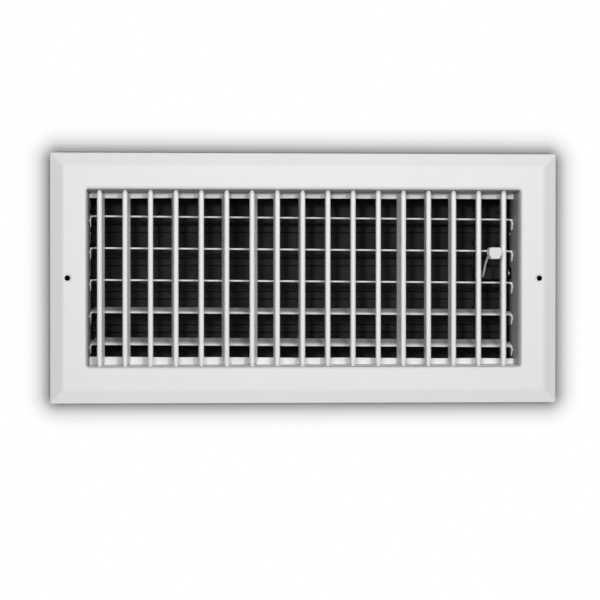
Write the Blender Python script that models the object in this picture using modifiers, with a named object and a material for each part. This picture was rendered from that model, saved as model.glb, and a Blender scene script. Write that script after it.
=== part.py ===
"""Sidewall vent register with two banks of turning blades and a linked shutter damper.

Metres, +Z up. The face looks along -Y and the wall plane, on which the flange rests, is y = 0.
The origin is the centre of the opening on that plane. Run with blender --background --python.
"""
import math

import bmesh
import bpy
from mathutils import Matrix, Vector

# Shared clearances
SEAT_GAP = 0.0003
PIN_PLAY = 0.0003
CUT_OVERRUN = 0.002
FINE_OVERRUN = 0.0004

# Face frame, one stamped sheet
FACE_WIDTH = 0.40005
FACE_HEIGHT = 0.19685
FACE_RISE = 0.0065
FACE_SHEET = 0.0012
FLANGE_WIDTH = 0.028575
RIM_HEIGHT = 0.0013
BORDER_WIDTH = 0.0105
BORDER_EASE = 0.0016
ROLL_RADIUS = 0.003
COLLAR_REACH = 0.014
OUTER_CORNER = 0.0016
INNER_CORNER = 0.0020

# Screw holes in the flange, each in a pressed countersink
SCREW_INSET = 0.0138
SCREW_HOLE_RADIUS = 0.0022
SINK_RADIUS = 0.0037
SINK_DEPTH = 0.0012

# Core rails and side plates
CORE_SHEET = 0.0008
RAIL_BEND = 0.0012
UPPER_LIP = 0.0050
LOWER_LIP = 0.0053
LOWER_LIP_TAPER = 0.0019

# Front bank, vertical blades
FRONT_COUNT = 17
FRONT_END_SPACE = 0.01145
FRONT_ROW_SHIFT = -0.0013
FRONT_SETBACK = 0.0075
NOSE_RADIUS = 0.0020
NOSE_DOME = 0.0011
FRONT_CHORD = 0.0173
FRONT_WEB = 0.0009
TAIL_CHAMFER = 0.0015
FRONT_PIN_RADIUS = 0.0011
FRONT_END_PLAY = 0.0005
LIP_CLEARANCE = 0.0012
# Turn of each blade as the photograph shows it, tail towards -X positive, left to right
FRONT_TURNS_DEG = (-10, -11.5, 0, 9.5, 6, 10, -15, 6, 5.5, 2, 1, -2.5, 9.5, 2.5, 4.5, -2, -1.5)

# Rear bank, horizontal blades
REAR_COUNT = 5
REAR_END_SPACE = 0.01905
REAR_ROW_DROP = 0.0024
REAR_SLOPE_DEG = 0.38
REAR_CLEARANCE = 0.0017
REAR_CHORD = 0.0160
REAR_SHEET = 0.0008
HEM_THICKNESS = 0.0014
HEM_DEPTH = 0.0022
EAR_HEIGHT = 0.0090
EAR_DEPTH = 0.0100
EAR_BEND = 0.0030
EAR_GAP = 0.0007
REAR_PIN_RADIUS = 0.0011
REAR_PIN_SETBACK = 0.0016
REAR_PIN_DROP = 0.0034
# Turn of each blade, rear edge up positive, top to bottom
REAR_TURNS_DEG = (0, 0, 0, 14, 18)

# Damper frame and shutter blades
DAMPER_SHEET = 0.0009
SHUTTER_SETBACK = 0.0200
DAMPER_TAIL = 0.0161
DAMPER_FLANGE = 0.0060
DAMPER_BEND = 0.0012
SHUTTER_COUNT = 5
SHUTTER_EDGE_GAP = 0.0006
SHUTTER_END_GAP = 0.0006
SHUTTER_SHEET = 0.0007
SHUTTER_LAP = 0.0010
SHUTTER_JOGGLE = 0.0008
JOGGLE_WIDTH = 0.0036
JOGGLE_RUN = 0.0010
SHUTTER_PIN_RADIUS = 0.0015
SHUTTER_PIN_ROOT = 0.0080
SHUTTER_SWING_DEG = 80

# Lever, crank and tie bar
LEVER_SWING_DEG = 20
LEVER_INSET = 0.02445
LEVER_PIVOT_STANDOFF = 0.0025
LEVER_PIVOT_HEIGHT = 0.0040
CRANK_SHEET = 0.0010
CRANK_ARM_SHARE = 0.775
CRANK_ARM_REST_DEG = 30
CRANK_BOSS_RADIUS = 0.0032
CRANK_TAIL_RADIUS = 0.0023
CRANK_PIN_RADIUS = 0.0012
LINK_GAP = 0.0006
BAR_HALF_WIDTH = 0.0022
BAR_END_MARGIN = 0.0040
BAR_SHEET = 0.0010
LUG_HALF_HEIGHT = 0.0034
LUG_MARGIN = 0.0016
SLOT_PLAY = 0.0004
NOTCH_FLOOR = 0.0004
EAR_PLATE_RADIUS = 0.0022

# Lever wire and tip, whose outline is given in shares of its width and height
WIRE_RADIUS = 0.0007
SOCKET_RADIUS = 0.0017
SOCKET_LENGTH = 0.0070
SOCKET_REACH = 0.0105
SOCKET_HEIGHT = 0.0014
TIP_WIDTH = 0.0126
TIP_HEIGHT = 0.0090
TIP_DEPTH = 0.0120
TIP_FRONT = 0.0170
TIP_SHIFT = 0.0018
TIP_CENTRE_Z = 0.0196
TIP_OUTLINE_SHARES = ((0.10, 1.0), (0.0, 0.80), (0.0, 0.42), (0.19, 0.0), (0.80, 0.0), (1.0, 0.58),
                      (1.0, 0.76), (0.86, 1.0))
TIP_ROUND = 0.0003
TIP_BORE_DEPTH = 0.0070

# Lever bracket
BRACKET_SHEET = 0.0010
BRACKET_BEND = 0.0012
BRACKET_HALF_HEIGHT = 0.0045
BRACKET_FOOT = 0.0088
BRACKET_WEB_GAP = 0.0012
BRACKET_EAR = 0.0036

# Rivets
RIVET_SHANK = 0.0012
RIVET_HEAD_RADIUS = 0.0024
RIVET_HEAD_HEIGHT = 0.0008
RIVET_INSET = 0.0030
RIVET_HEIGHT = 0.0360

# Mesh fineness
CORNER_STEPS = 3
ROLL_STEPS = 5
BEND_STEPS = 3
PIN_SIDES = 8
ROUND_SIDES = 16
NOSE_SIDES = 16
WIRE_SPAN_STEPS = 3
WELD = 0.00001

PAINT_WHITE = (0.80, 0.80, 0.79, 1)
PAINT_BLACK = (0.012, 0.012, 0.013, 1)
PLASTIC_WHITE = (0.84, 0.84, 0.82, 1)
BARE_STEEL = (0.55, 0.55, 0.56, 1)

# Places that follow from the sizes above
FACE_PLANE = -FACE_RISE
OPENING_WIDTH = FACE_WIDTH - 2 * FLANGE_WIDTH
OPENING_HEIGHT = FACE_HEIGHT - 2 * FLANGE_WIDTH
FRONT_PITCH = (OPENING_WIDTH - 2 * FRONT_END_SPACE) / (FRONT_COUNT - 1)
REAR_PITCH = (OPENING_HEIGHT - 2 * REAR_END_SPACE) / (REAR_COUNT - 1)
LEVER_X = OPENING_WIDTH / 2 - LEVER_INSET
TIP_CENTRE_X = LEVER_X + TIP_SHIFT
CORE_HALF_WIDTH = OPENING_WIDTH / 2 - SEAT_GAP
CORE_HALF_HEIGHT = OPENING_HEIGHT / 2 - SEAT_GAP
CORE_INNER_WIDTH = CORE_HALF_WIDTH - CORE_SHEET
CORE_INNER_HEIGHT = CORE_HALF_HEIGHT - CORE_SHEET
RAIL_HALF_LENGTH = CORE_INNER_WIDTH - SEAT_GAP
RAIL_FRONT = FACE_PLANE + ROLL_RADIUS + SEAT_GAP
FRONT_AXIS_Y = FACE_PLANE + FRONT_SETBACK
LIP_Y = FRONT_AXIS_Y + FRONT_CHORD + LIP_CLEARANCE + CORE_SHEET / 2
REAR_EDGE_Y = LIP_Y + CORE_SHEET / 2 + REAR_CLEARANCE
REAR_AXIS_Y = REAR_EDGE_Y + REAR_PIN_SETBACK
CORE_REAR = REAR_EDGE_Y + REAR_CHORD + BRACKET_WEB_GAP + SEAT_GAP
RIVET_DEPTH = CORE_REAR - RIVET_INSET
REAR_HALF_LENGTH = CORE_INNER_WIDTH - EAR_GAP
LEVER_PIVOT_DEPTH = CORE_REAR + LEVER_PIVOT_STANDOFF
SOCKET_FRONT = LEVER_PIVOT_DEPTH - SOCKET_REACH
DAMPER_AXIS_DEPTH = LEVER_PIVOT_DEPTH + SHUTTER_SETBACK
DAMPER_REACH = DAMPER_AXIS_DEPTH + DAMPER_TAIL
CRANK_ARM = SHUTTER_SETBACK * CRANK_ARM_SHARE
DAMPER_FRONT = COLLAR_REACH + SEAT_GAP
DAMPER_INNER_WIDTH = CORE_HALF_WIDTH + SEAT_GAP
DAMPER_INNER_HEIGHT = CORE_HALF_HEIGHT + SEAT_GAP
SHUTTER_PITCH = 2 * (DAMPER_INNER_HEIGHT - SHUTTER_EDGE_GAP - SHUTTER_LAP) / SHUTTER_COUNT
SHUTTER_HALF = SHUTTER_PITCH / 2 + SHUTTER_LAP
SHUTTER_HALF_LENGTH = DAMPER_INNER_WIDTH - SHUTTER_END_GAP
BRACKET_WEB_Y = CORE_REAR - BRACKET_SHEET / 2
BRACKET_RIVET_Y = BRACKET_WEB_Y - BRACKET_FOOT / 2
BRACKET_FOOT_X = CORE_INNER_WIDTH - SEAT_GAP - BRACKET_SHEET / 2
BRACKET_EAR_X = LEVER_X + CRANK_SHEET / 2 + SEAT_GAP + BRACKET_SHEET / 2

# The crank's fall through the lever's swing sets the radius of the shutter cranks
HALF_SWING = math.radians(SHUTTER_SWING_DEG / 2)
ARM_REST = math.radians(CRANK_ARM_REST_DEG)
ARM_OPEN = math.radians(CRANK_ARM_REST_DEG - LEVER_SWING_DEG)
BAR_TRAVEL = CRANK_ARM * (math.sin(ARM_REST) - math.sin(ARM_OPEN))
LINK_RADIUS = BAR_TRAVEL / (2 * math.sin(HALF_SWING))
LINK_Y = DAMPER_AXIS_DEPTH - LINK_RADIUS * math.cos(HALF_SWING)
LINK_RISE = LINK_RADIUS * math.sin(HALF_SWING)
BAR_X = LEVER_X - CRANK_SHEET / 2 - LINK_GAP - BAR_SHEET / 2
EAR_PLATE_X = BAR_X - BAR_SHEET / 2 - LINK_GAP - CRANK_SHEET / 2


def clear_scene():
    for old in list(bpy.data.objects):
        bpy.data.objects.remove(old, do_unlink=True)


def new_collection(name):
    made = bpy.data.collections.new(name)
    bpy.context.scene.collection.children.link(made)
    return made


def paint(name, colour, roughness, metallic=0.0):
    made = bpy.data.materials.new(name)
    made.use_nodes = True
    shader = made.node_tree.nodes["Principled BSDF"]
    shader.inputs["Base Color"].default_value = colour
    shader.inputs["Roughness"].default_value = roughness
    shader.inputs["Metallic"].default_value = metallic
    return made


clear_scene()
PARTS = new_collection("vent_register")
CUTTERS = new_collection("cutters")
WHITE = paint("white_paint", PAINT_WHITE, 0.38)
BLACK = paint("black_paint", PAINT_BLACK, 0.55)
PLASTIC = paint("white_plastic", PLASTIC_WHITE, 0.3)
STEEL = paint("bare_steel", BARE_STEEL, 0.35, 1.0)


def put(name, bm, material=None, group=PARTS):
    """Turn a bmesh into a named object in a collection."""
    mesh = bpy.data.meshes.new(name)
    bm.normal_update()
    bm.to_mesh(mesh)
    bm.free()
    made = bpy.data.objects.new(name, mesh)
    group.objects.link(made)
    if material:
        mesh.materials.append(material)
    return made


def guide(made):
    """Hide an object that only cuts or joins another."""
    made.hide_render = True
    made.display_type = 'WIRE'
    return made


def add_box(bm, low, high):
    size = Vector(high) - Vector(low)
    middle = (Vector(high) + Vector(low)) / 2
    placed = Matrix.Translation(middle) @ Matrix.Diagonal((size.x, size.y, size.z, 1))
    return bmesh.ops.create_cube(bm, size=1, matrix=placed)


def add_rod(bm, start, end, radius, sides=ROUND_SIDES, end_radius=None):
    """Cylinder, or cone, from one point to another."""
    start = Vector(start)
    along = Vector(end) - start
    placed = Matrix.Translation(start + along / 2) @ along.to_track_quat('Z', 'Y').to_matrix().to_4x4()
    tip = radius if end_radius is None else end_radius
    bmesh.ops.create_cone(bm, cap_ends=True, segments=sides, radius1=radius, radius2=tip,
                          depth=along.length, matrix=placed)


def box_guide(name, low, high):
    bm = bmesh.new()
    add_box(bm, low, high)
    return guide(put(name, bm, group=CUTTERS))


def rod_guide(name, start, end, radius, sides=ROUND_SIDES, end_radius=None):
    bm = bmesh.new()
    add_rod(bm, start, end, radius, sides, end_radius)
    return guide(put(name, bm, group=CUTTERS))


def combine(target, other, operation):
    step = target.modifiers.new(operation.lower(), 'BOOLEAN')
    step.operation = operation
    step.object = other
    step.solver = 'EXACT'


def join(target, other):
    combine(target, other, 'UNION')


def cut(target, other):
    combine(target, other, 'DIFFERENCE')


def bake(made):
    """Apply an object's modifiers to its mesh, so that copies can share it."""
    bpy.context.view_layer.update()
    seen = made.evaluated_get(bpy.context.evaluated_depsgraph_get())
    solid = bpy.data.meshes.new_from_object(seen)
    made.modifiers.clear()
    made.data = solid
    return made


def copy_of(source, name, location, turn=None):
    made = bpy.data.objects.new(name, source.data)
    made.location = location
    if turn is not None:
        made.rotation_euler = turn
    PARTS.objects.link(made)
    return made


def round_shading(made):
    made.data.shade_smooth()
    made.data.set_sharp_from_angle(angle=math.radians(35))


def hole_radius(pin_radius, play=PIN_PLAY):
    """Radius of a many-sided hole whose flats stay clear of the pin."""
    return (pin_radius + play) / math.cos(math.pi / PIN_SIDES)


def folded_sheet(name, path, place, low, high, thickness, bend, material, group=PARTS):
    """Sheet folded along a path and drawn out from low to high.

    place turns a path point and a position along the sweep into a point in space.
    """
    bm = bmesh.new()
    edge = [bm.verts.new(place(point, low)) for point in path]
    lines = [bm.edges.new(pair) for pair in zip(edge, edge[1:])]
    drawn = bmesh.ops.extrude_edge_only(bm, edges=lines)
    moved = [part for part in drawn["geom"] if isinstance(part, bmesh.types.BMVert)]
    shift = Vector(place(path[0], high)) - Vector(place(path[0], low))
    bmesh.ops.translate(bm, verts=moved, vec=shift)
    bm.verts.ensure_lookup_table()
    folds = [line for line in bm.edges if len(line.link_faces) == 2]
    if folds and bend > 0:
        bmesh.ops.bevel(bm, geom=folds, offset=bend, offset_type='OFFSET', segments=BEND_STEPS,
                        profile=0.5, affect='EDGES')
    made = put(name, bm, material, group)
    shell = made.modifiers.new("sheet", 'SOLIDIFY')
    shell.thickness = thickness
    shell.offset = 0
    shell.use_even_offset = True
    return made


def turned(name, profile, material, steps, group=PARTS):
    """Solid turned about Z from (radius, height) points that run from top to bottom."""
    bm = bmesh.new()
    ring = [bm.verts.new((radius, 0, height)) for radius, height in profile]
    for pair in zip(ring, ring[1:]):
        bm.edges.new(pair)
    made = put(name, bm, material, group)
    lathe = made.modifiers.new("lathe", 'SCREW')
    lathe.steps = steps
    lathe.render_steps = steps
    lathe.use_merge_vertices = True
    lathe.merge_threshold = WELD
    lathe.use_normal_calculate = False
    return made


# Face frame


def rounded_rectangle(half_width, half_height, radius):
    """Corner points of a rectangle with rounded corners, counter-clockwise seen from -Y."""
    points = []
    corners = ((1, 1), (-1, 1), (-1, -1), (1, -1))
    for index, (side, level) in enumerate(corners):
        for step in range(CORNER_STEPS + 1):
            angle = math.pi / 2 * (index + step / CORNER_STEPS)
            points.append((side * (half_width - radius) + radius * math.cos(angle),
                           level * (half_height - radius) + radius * math.sin(angle)))
    return points


def face_profile():
    """Front surface of the face, rim to collar: (inset from the outline, depth, corner)."""
    slope = (FACE_RISE - RIM_HEIGHT) / BORDER_WIDTH
    flat_corner = (OUTER_CORNER + INNER_CORNER) / 2
    points = [(0, 0, OUTER_CORNER), (0, -RIM_HEIGHT, OUTER_CORNER)]
    points.append((BORDER_WIDTH - BORDER_EASE, FACE_PLANE + BORDER_EASE * slope, OUTER_CORNER))
    points.append((BORDER_WIDTH, FACE_PLANE + BORDER_EASE * slope / 4, OUTER_CORNER))
    points.append((BORDER_WIDTH + BORDER_EASE, FACE_PLANE, flat_corner))
    for step in range(ROLL_STEPS + 1):
        angle = math.pi / 2 * step / ROLL_STEPS
        points.append((FLANGE_WIDTH - ROLL_RADIUS * (1 - math.sin(angle)),
                       FACE_PLANE + ROLL_RADIUS * (1 - math.cos(angle)),
                       INNER_CORNER + ROLL_RADIUS * (1 - math.sin(angle))))
    points.append((FLANGE_WIDTH, COLLAR_REACH, INNER_CORNER))
    return points


def face_frame():
    bm = bmesh.new()
    lines = None
    for inset, depth, corner in face_profile():
        outline = rounded_rectangle(FACE_WIDTH / 2 - inset, FACE_HEIGHT / 2 - inset, corner)
        if lines is None:
            ring = [bm.verts.new((x, depth, z)) for x, z in outline]
            lines = [bm.edges.new((ring[k - 1], ring[k])) for k in range(len(ring))]
            continue
        drawn = bmesh.ops.extrude_edge_only(bm, edges=lines)["geom"]
        lines = [part for part in drawn if isinstance(part, bmesh.types.BMEdge)]
        before = ring
        ring = [next(line.other_vert(old) for line in old.link_edges
                     if line.other_vert(old) in drawn) for old in before]
        for corner_point, (x, z) in zip(ring, outline):
            corner_point.co = (x, depth, z)
        lines = [line for line in lines if line.verts[0] in ring and line.verts[1] in ring]
    bmesh.ops.reverse_faces(bm, faces=bm.faces)
    made = put("face_frame", bm, WHITE)
    shell = made.modifiers.new("sheet", 'SOLIDIFY')
    shell.thickness = FACE_SHEET
    shell.offset = -1
    shell.use_even_offset = True
    for side, label in ((-1, "left"), (1, "right")):
        place_x = side * (FACE_WIDTH / 2 - SCREW_INSET)
        back = FACE_PLANE + FACE_SHEET
        floor = FACE_PLANE + SINK_DEPTH
        join(made, rod_guide("sink_cup_" + label, (place_x, back - FACE_SHEET / 2, 0),
                             (place_x, floor + FACE_SHEET, 0), SINK_RADIUS + FACE_SHEET / 2,
                             end_radius=SCREW_HOLE_RADIUS + FACE_SHEET))
        cut(made, rod_guide("sink_" + label, (place_x, FACE_PLANE - FINE_OVERRUN, 0),
                            (place_x, floor, 0), SINK_RADIUS + FINE_OVERRUN,
                            end_radius=SCREW_HOLE_RADIUS))
        cut(made, rod_guide("screw_hole_" + label, (place_x, FACE_PLANE, 0),
                            (place_x, floor + FACE_SHEET + CUT_OVERRUN, 0), SCREW_HOLE_RADIUS))
    round_shading(made)


# Core rails and side plates


def front_blade_places():
    first = FRONT_ROW_SHIFT - FRONT_PITCH * (FRONT_COUNT - 1) / 2
    return [first + FRONT_PITCH * index for index in range(FRONT_COUNT)]


def core_rail(name, level, lip):
    """Folded rail with a row of pivot holes and a lip turned in behind the front bank."""
    middle = level * (CORE_HALF_HEIGHT - CORE_SHEET / 2)
    tip = level * (CORE_INNER_HEIGHT - lip)
    path = ((RAIL_FRONT, middle), (LIP_Y, middle), (LIP_Y, tip))
    made = folded_sheet(name, path, lambda point, along: (along, point[0], point[1]),
                        -RAIL_HALF_LENGTH, RAIL_HALF_LENGTH, CORE_SHEET, RAIL_BEND, WHITE)
    bm = bmesh.new()
    for place_x in front_blade_places():
        add_rod(bm, (place_x, FRONT_AXIS_Y, middle - CUT_OVERRUN),
                (place_x, FRONT_AXIS_Y, middle + CUT_OVERRUN),
                hole_radius(FRONT_PIN_RADIUS), PIN_SIDES)
    cut(made, guide(put(name + "_holes", bm, group=CUTTERS)))
    return made


def lower_rail():
    """The lower lip is lower at the right, in line with the rear bank's slope."""
    made = core_rail("core_bottom_rail", -1, LOWER_LIP)
    edge = -CORE_INNER_HEIGHT + LOWER_LIP
    for point in made.data.vertices:
        if abs(point.co.z - edge) < CORE_SHEET / 2 and point.co.y > LIP_Y - CORE_SHEET:
            point.co.z -= math.copysign(LOWER_LIP_TAPER / 2, point.co.x)


def rear_blade_height(index):
    return (REAR_COUNT - 1 - 2 * index) / 2 * REAR_PITCH - REAR_ROW_DROP


def slope_drop(place_x):
    """Fall of the rear bank's blades at a place across the opening."""
    return -place_x * math.tan(math.radians(REAR_SLOPE_DEG))


def rivet_places():
    return [(RIVET_DEPTH, RIVET_HEIGHT), (RIVET_DEPTH, -RIVET_HEIGHT)]


def side_plate(name, side):
    bm = bmesh.new()
    height = CORE_INNER_HEIGHT - SEAT_GAP
    inner = side * CORE_INNER_WIDTH
    outer = side * CORE_HALF_WIDTH
    add_box(bm, (min(inner, outer), RAIL_FRONT, -height), (max(inner, outer), CORE_REAR, height))
    made = put(name, bm, WHITE)
    bm = bmesh.new()
    low = inner - side * CUT_OVERRUN
    high = outer + side * CUT_OVERRUN
    for index in range(REAR_COUNT):
        level = rear_blade_height(index) + slope_drop(inner) - REAR_PIN_DROP
        add_rod(bm, (low, REAR_AXIS_Y, level), (high, REAR_AXIS_Y, level),
                hole_radius(REAR_PIN_RADIUS), PIN_SIDES)
    places = rivet_places()
    if side > 0:
        places.append((BRACKET_RIVET_Y, LEVER_PIVOT_HEIGHT))
    for depth, level in places:
        add_rod(bm, (low, depth, level), (high, depth, level),
                hole_radius(RIVET_SHANK), PIN_SIDES)
    cut(made, guide(put(name + "_holes", bm, group=CUTTERS)))


# Front bank


def front_blade_master():
    """Round-nosed blade about its own pivot axis, drawn back along +Y."""
    pin_end = CORE_HALF_HEIGHT - FINE_OVERRUN / 4
    shoulder = CORE_INNER_HEIGHT - FRONT_END_PLAY
    dome = NOSE_RADIUS - FRONT_PIN_RADIUS
    profile = [(0, pin_end), (FRONT_PIN_RADIUS, pin_end), (FRONT_PIN_RADIUS, shoulder),
               (FRONT_PIN_RADIUS + dome * 0.75, shoulder - NOSE_DOME * 0.35),
               (NOSE_RADIUS, shoulder - NOSE_DOME)]
    profile += [(radius, -height) for radius, height in reversed(profile)]
    made = turned("front_blade_nose", profile, WHITE, NOSE_SIDES)
    bm = bmesh.new()
    web_end = shoulder - NOSE_DOME
    add_box(bm, (-FRONT_WEB / 2, 0, -web_end), (FRONT_WEB / 2, FRONT_CHORD, web_end))
    corners = [edge for edge in bm.edges
               if all(point.co.y > FRONT_CHORD / 2 for point in edge.verts)
               and abs(edge.verts[0].co.x - edge.verts[1].co.x) > FRONT_WEB / 2]
    bmesh.ops.bevel(bm, geom=corners, offset=TAIL_CHAMFER, segments=1, affect='EDGES')
    join(made, guide(put("front_blade_web", bm, group=CUTTERS)))
    return bake(made)


def front_bank():
    master = front_blade_master()
    round_shading(master)
    places = zip(front_blade_places(), FRONT_TURNS_DEG)
    for number, (place_x, turn) in enumerate(places, start=1):
        copy_of(master, "front_blade_%02d" % number, (place_x, FRONT_AXIS_Y, 0),
                (0, 0, math.radians(turn)))
    bpy.data.objects.remove(master, do_unlink=True)


# Rear bank


def rear_blade_master():
    """Folded blade about its pivot axis, which lies below and behind its front edge."""
    end = REAR_HALF_LENGTH - REAR_SHEET / 2
    plate = REAR_PIN_DROP
    front = -REAR_PIN_SETBACK
    path = ((-end, plate - EAR_HEIGHT), (-end, plate), (end, plate), (end, plate - EAR_HEIGHT))
    made = folded_sheet("rear_blade_sheet", path, lambda point, along: (point[0], along, point[1]),
                        front, front + EAR_DEPTH, REAR_SHEET, EAR_BEND, WHITE)
    wing = end - EAR_BEND
    join(made, box_guide("rear_blade_wing", (-wing, front + EAR_BEND, plate - REAR_SHEET / 2),
                         (wing, front + REAR_CHORD, plate + REAR_SHEET / 2)))
    bm = bmesh.new()
    add_box(bm, (-wing, front, plate - HEM_THICKNESS / 2),
            (wing, front + HEM_DEPTH, plate + HEM_THICKNESS / 2))
    rims = [edge for edge in bm.edges
            if abs(edge.verts[0].co.x - edge.verts[1].co.x) > wing
            and edge.verts[0].co.y < front + HEM_DEPTH / 2]
    bmesh.ops.bevel(bm, geom=rims, offset=HEM_THICKNESS * 0.3, segments=2, profile=0.5,
                    affect='EDGES')
    join(made, guide(put("rear_blade_hem", bm, group=CUTTERS)))
    for side, label in ((-1, "left"), (1, "right")):
        join(made, rod_guide("rear_pin_" + label, (side * (end - REAR_SHEET / 4), 0, 0),
                             (side * (CORE_HALF_WIDTH - FINE_OVERRUN / 4), 0, 0),
                             REAR_PIN_RADIUS, PIN_SIDES))
    return bake(made)


def rear_bank():
    master = rear_blade_master()
    round_shading(master)
    for index, turn in enumerate(REAR_TURNS_DEG):
        level = rear_blade_height(index) - REAR_PIN_DROP
        slope = Matrix.Rotation(math.radians(REAR_SLOPE_DEG), 4, 'Y')
        tilt = Matrix.Rotation(math.radians(turn), 4, 'X')
        made = copy_of(master, "rear_blade_%d" % (index + 1), (0, REAR_AXIS_Y, level))
        made.rotation_euler = (slope @ tilt).to_euler()
    bpy.data.objects.remove(master, do_unlink=True)


# Damper frame


def damper_wall(name, level):
    middle = level * (DAMPER_INNER_HEIGHT + DAMPER_SHEET / 2)
    tip = level * (DAMPER_INNER_HEIGHT - DAMPER_FLANGE)
    back = DAMPER_REACH - DAMPER_SHEET / 2
    length = DAMPER_INNER_WIDTH + DAMPER_SHEET
    folded_sheet(name, ((DAMPER_FRONT, middle), (back, middle), (back, tip)),
                 lambda point, along: (along, point[0], point[1]), -length, length,
                 DAMPER_SHEET, DAMPER_BEND, BLACK)


def shutter_height(index):
    return (SHUTTER_COUNT - 1 - 2 * index) / 2 * SHUTTER_PITCH


def damper_end(name, side):
    bm = bmesh.new()
    height = DAMPER_INNER_HEIGHT - SEAT_GAP
    inner = side * DAMPER_INNER_WIDTH
    outer = side * (DAMPER_INNER_WIDTH + DAMPER_SHEET)
    rear = DAMPER_REACH - DAMPER_SHEET - SEAT_GAP
    add_box(bm, (min(inner, outer), DAMPER_FRONT, -height), (max(inner, outer), rear, height))
    made = put(name, bm, BLACK)
    bm = bmesh.new()
    low = inner - side * CUT_OVERRUN
    high = outer + side * CUT_OVERRUN
    for index in range(SHUTTER_COUNT):
        level = shutter_height(index)
        add_rod(bm, (low, DAMPER_AXIS_DEPTH, level), (high, DAMPER_AXIS_DEPTH, level),
                hole_radius(SHUTTER_PIN_RADIUS), PIN_SIDES)
    places = rivet_places()
    if side > 0:
        places.append((BRACKET_RIVET_Y, LEVER_PIVOT_HEIGHT))
    for depth, level in places:
        add_rod(bm, (low, depth, level), (high, depth, level),
                hole_radius(RIVET_SHANK), PIN_SIDES)
    cut(made, guide(put(name + "_holes", bm, group=CUTTERS)))


# Shutter blades


def shutter_master():
    """Joggled blade about its pivot axis, with pins, a crank ear and a notch for the bar."""
    flat = SHUTTER_HALF - JOGGLE_WIDTH - JOGGLE_RUN
    path = ((-SHUTTER_JOGGLE, SHUTTER_HALF), (-SHUTTER_JOGGLE, SHUTTER_HALF - JOGGLE_WIDTH),
            (0, flat), (0, -flat), (SHUTTER_JOGGLE, JOGGLE_WIDTH - SHUTTER_HALF),
            (SHUTTER_JOGGLE, -SHUTTER_HALF))
    made = folded_sheet("shutter_sheet", path, lambda point, along: (along, point[0], point[1]),
                        -SHUTTER_HALF_LENGTH, SHUTTER_HALF_LENGTH, SHUTTER_SHEET, 0, BLACK)
    for side, label in ((-1, "left"), (1, "right")):
        reach = DAMPER_INNER_WIDTH + DAMPER_SHEET + SEAT_GAP
        join(made, rod_guide("shutter_pin_" + label,
                             (side * (SHUTTER_HALF_LENGTH - SHUTTER_PIN_ROOT), 0, 0),
                             (side * reach, 0, 0), SHUTTER_PIN_RADIUS, PIN_SIDES))
    left = BAR_X - BAR_SHEET / 2 - LINK_GAP / 2
    right = LEVER_X + CRANK_SHEET / 2 + LINK_GAP
    depth = SHUTTER_JOGGLE + CUT_OVERRUN
    cut(made, box_guide("shutter_notch", (left, -depth, NOTCH_FLOOR),
                        (right, depth, SHUTTER_HALF + CUT_OVERRUN)))
    link_y = -LINK_RADIUS * math.cos(HALF_SWING)
    bm = bmesh.new()
    add_rod(bm, (EAR_PLATE_X - CRANK_SHEET / 2, link_y, LINK_RISE),
            (EAR_PLATE_X + CRANK_SHEET / 2, link_y, LINK_RISE), EAR_PLATE_RADIUS)
    join(made, guide(put("crank_ear_end", bm, group=CUTTERS)))
    join(made, box_guide("crank_ear_root",
                         (EAR_PLATE_X - CRANK_SHEET / 2, link_y, LINK_RISE - EAR_PLATE_RADIUS),
                         (EAR_PLATE_X + CRANK_SHEET / 2, 0, LINK_RISE + EAR_PLATE_RADIUS)))
    join(made, rod_guide("crank_ear_pin", (EAR_PLATE_X, link_y, LINK_RISE),
                         (BAR_X + BAR_SHEET / 2 + SEAT_GAP, link_y, LINK_RISE),
                         CRANK_PIN_RADIUS, PIN_SIDES))
    return bake(made)


def shutter_bank():
    master = shutter_master()
    for index in range(SHUTTER_COUNT):
        copy_of(master, "damper_blade_%d" % (index + 1),
                (0, DAMPER_AXIS_DEPTH, shutter_height(index)))
    bpy.data.objects.remove(master, do_unlink=True)


def crank_pin_place(angle):
    """Depth and height of the lever crank's pin at an arm angle above the level."""
    return (LEVER_PIVOT_DEPTH + CRANK_ARM * math.cos(angle),
            LEVER_PIVOT_HEIGHT + CRANK_ARM * math.sin(angle))


def tie_bar():
    top = shutter_height(0) + LINK_RISE + BAR_END_MARGIN
    bottom = shutter_height(SHUTTER_COUNT - 1) + LINK_RISE - BAR_END_MARGIN
    low_x = BAR_X - BAR_SHEET / 2
    high_x = BAR_X + BAR_SHEET / 2
    bm = bmesh.new()
    add_box(bm, (low_x, LINK_Y - BAR_HALF_WIDTH, bottom), (high_x, LINK_Y + BAR_HALF_WIDTH, top))
    made = put("tie_bar", bm, BLACK)

    pin_y, pin_z = crank_pin_place(ARM_REST)
    middle_y = crank_pin_place((ARM_REST + ARM_OPEN) / 2)[0]
    reach = CRANK_PIN_RADIUS + SLOT_PLAY
    slot_front = pin_y - reach
    bar_middle = DAMPER_AXIS_DEPTH - LINK_RADIUS
    slot_back = LINK_Y + (middle_y - bar_middle) + reach
    join(made, box_guide("bar_lug", (low_x, slot_front - LUG_MARGIN, pin_z - LUG_HALF_HEIGHT),
                         (high_x, LINK_Y, pin_z + LUG_HALF_HEIGHT)))
    cut(made, box_guide("bar_slot", (low_x - CUT_OVERRUN, slot_front, pin_z - reach),
                        (high_x + CUT_OVERRUN, slot_back, pin_z + reach)))
    bm = bmesh.new()
    for index in range(SHUTTER_COUNT):
        level = shutter_height(index) + LINK_RISE
        add_rod(bm, (low_x - CUT_OVERRUN, LINK_Y, level), (high_x + CUT_OVERRUN, LINK_Y, level),
                hole_radius(CRANK_PIN_RADIUS, SEAT_GAP / 2), PIN_SIDES)
    cut(made, guide(put("bar_holes", bm, group=CUTTERS)))


# Lever crank, wire, tip and bracket


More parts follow.
